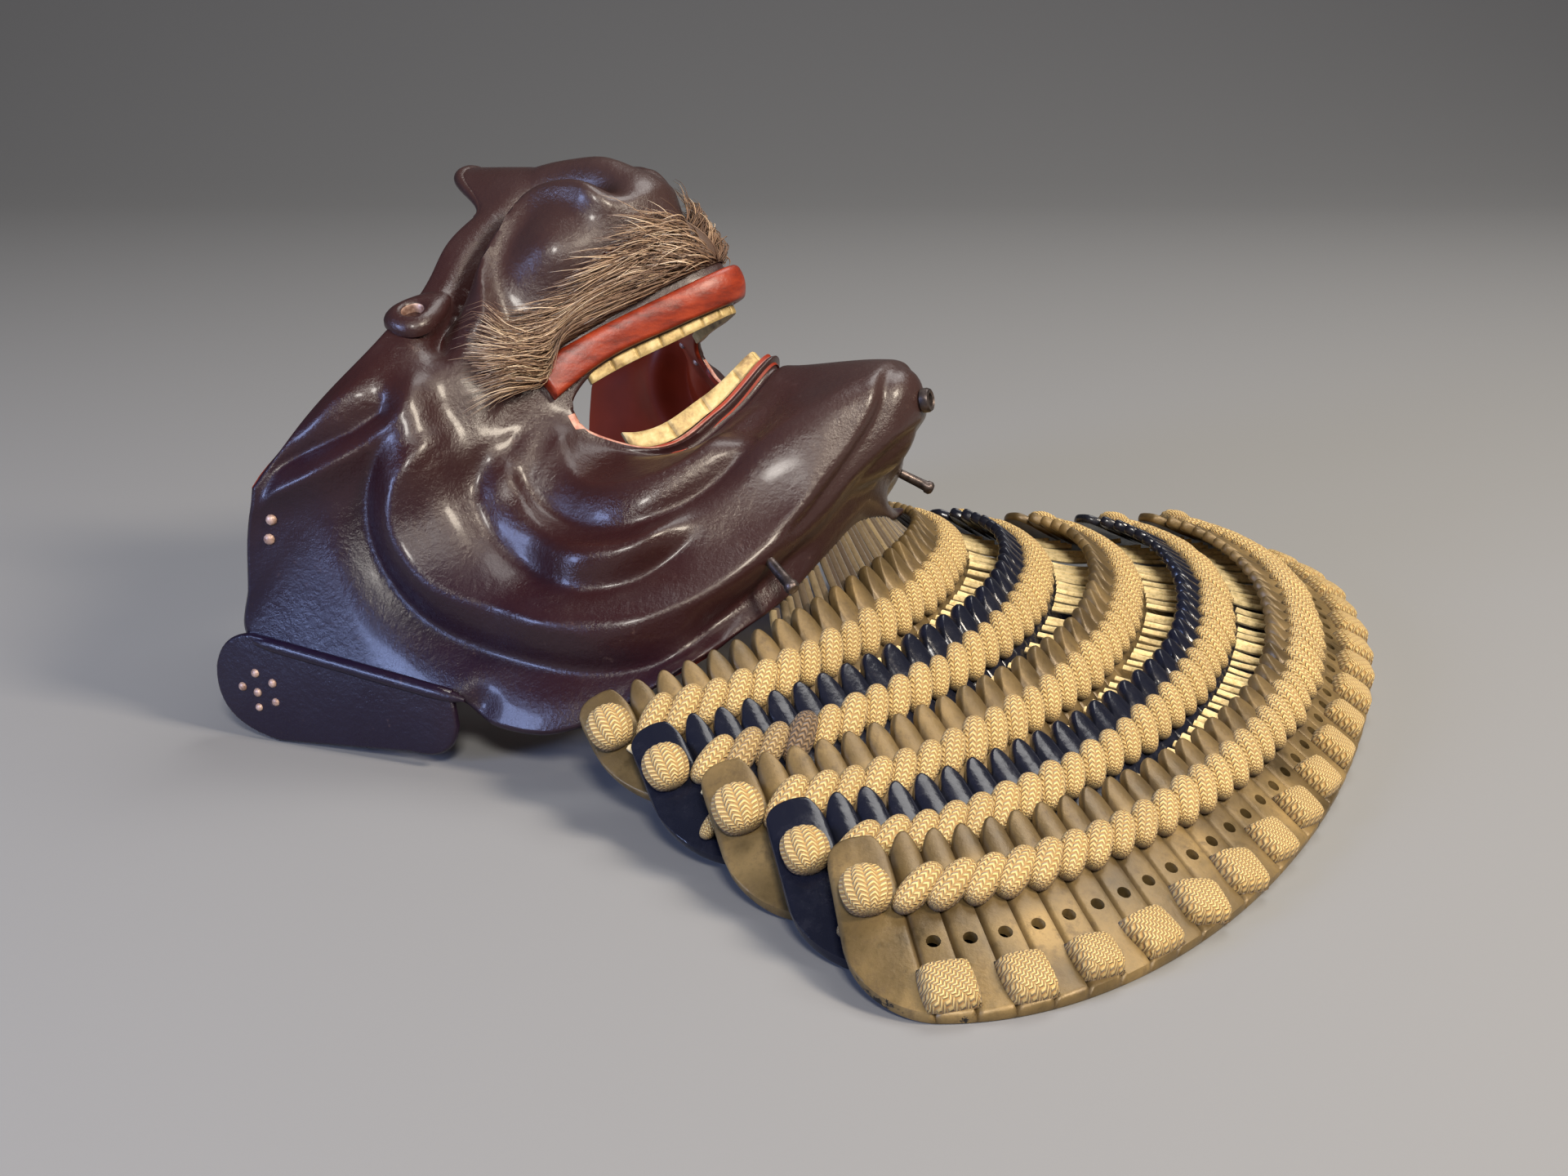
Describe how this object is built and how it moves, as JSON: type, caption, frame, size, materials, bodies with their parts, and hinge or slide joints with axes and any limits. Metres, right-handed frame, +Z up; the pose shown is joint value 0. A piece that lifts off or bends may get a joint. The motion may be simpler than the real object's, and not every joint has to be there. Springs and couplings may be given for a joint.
{
  "type": "samurai face guard",
  "caption": "Half mask of lacquered iron with nose, open mouth and hair moustache, and a fanned throat guard of laced scale lames, lying on its cheek flanges.",
  "frame": {"origin": "under the middle of the guard's bounding box, on the surface that it lies on", "axes": "+X to the wearer's left, -Y towards the chin and the fanned lames, +Z up from the surface"},
  "size_m": [0.2792, 0.2304, 0.1182],
  "materials": {
    "lacquer": "russet-black lacquer over hammered iron, half gloss",
    "red_lacquer": "vermilion lacquer, half gloss",
    "gold": "gold leaf over lacquer",
    "hair": "bristle hair",
    "aged_gold": "worn gold lacquer",
    "black_lacquer": "gloss black lacquer",
    "lacing": "braided silk laces",
    "iron": "browned iron"
  },
  "bodies": {
    "root": {"mask_shell": "lacquer", "upper_lip": "red_lacquer", "upper_teeth": "gold", "lower_teeth": "gold", "moustache": "hair", "chin_drain_tube": "iron", "jaw_lacing": "lacing", "chin_peg_right": "iron", "cord_eyelet_right": "lacquer", "chin_peg_left": "iron", "cord_eyelet_left": "lacquer", "top_lame": "aged_gold", "top_lame_lacing": "lacing", "laces_below_top_lame": "lacing", "second_lame": "black_lacquer", "second_lame_lacing": "lacing", "laces_below_second_lame": "lacing", "middle_lame": "aged_gold", "middle_lame_lacing": "lacing", "laces_below_middle_lame": "lacing", "fourth_lame": "black_lacquer", "fourth_lame_lacing": "lacing", "laces_below_fourth_lame": "lacing", "lowest_lame": "aged_gold", "lowest_lame_lacing": "lacing", "foot_knot_1": "lacing", "foot_knot_2": "lacing", "foot_knot_3": "lacing", "foot_knot_4": "lacing", "foot_knot_5": "lacing", "foot_knot_6": "lacing", "foot_knot_7": "lacing", "foot_knot_8": "lacing", "foot_knot_9": "lacing", "foot_knot_10": "lacing", "foot_knot_11": "lacing", "foot_knot_12": "lacing", "foot_knot_13": "lacing", "foot_knot_14": "lacing", "foot_knot_15": "lacing", "foot_knot_16": "lacing", "foot_knot_17": "lacing", "foot_knot_18": "lacing", "foot_knot_19": "lacing", "foot_knot_20": "lacing"}
  },
  "joints": []
}
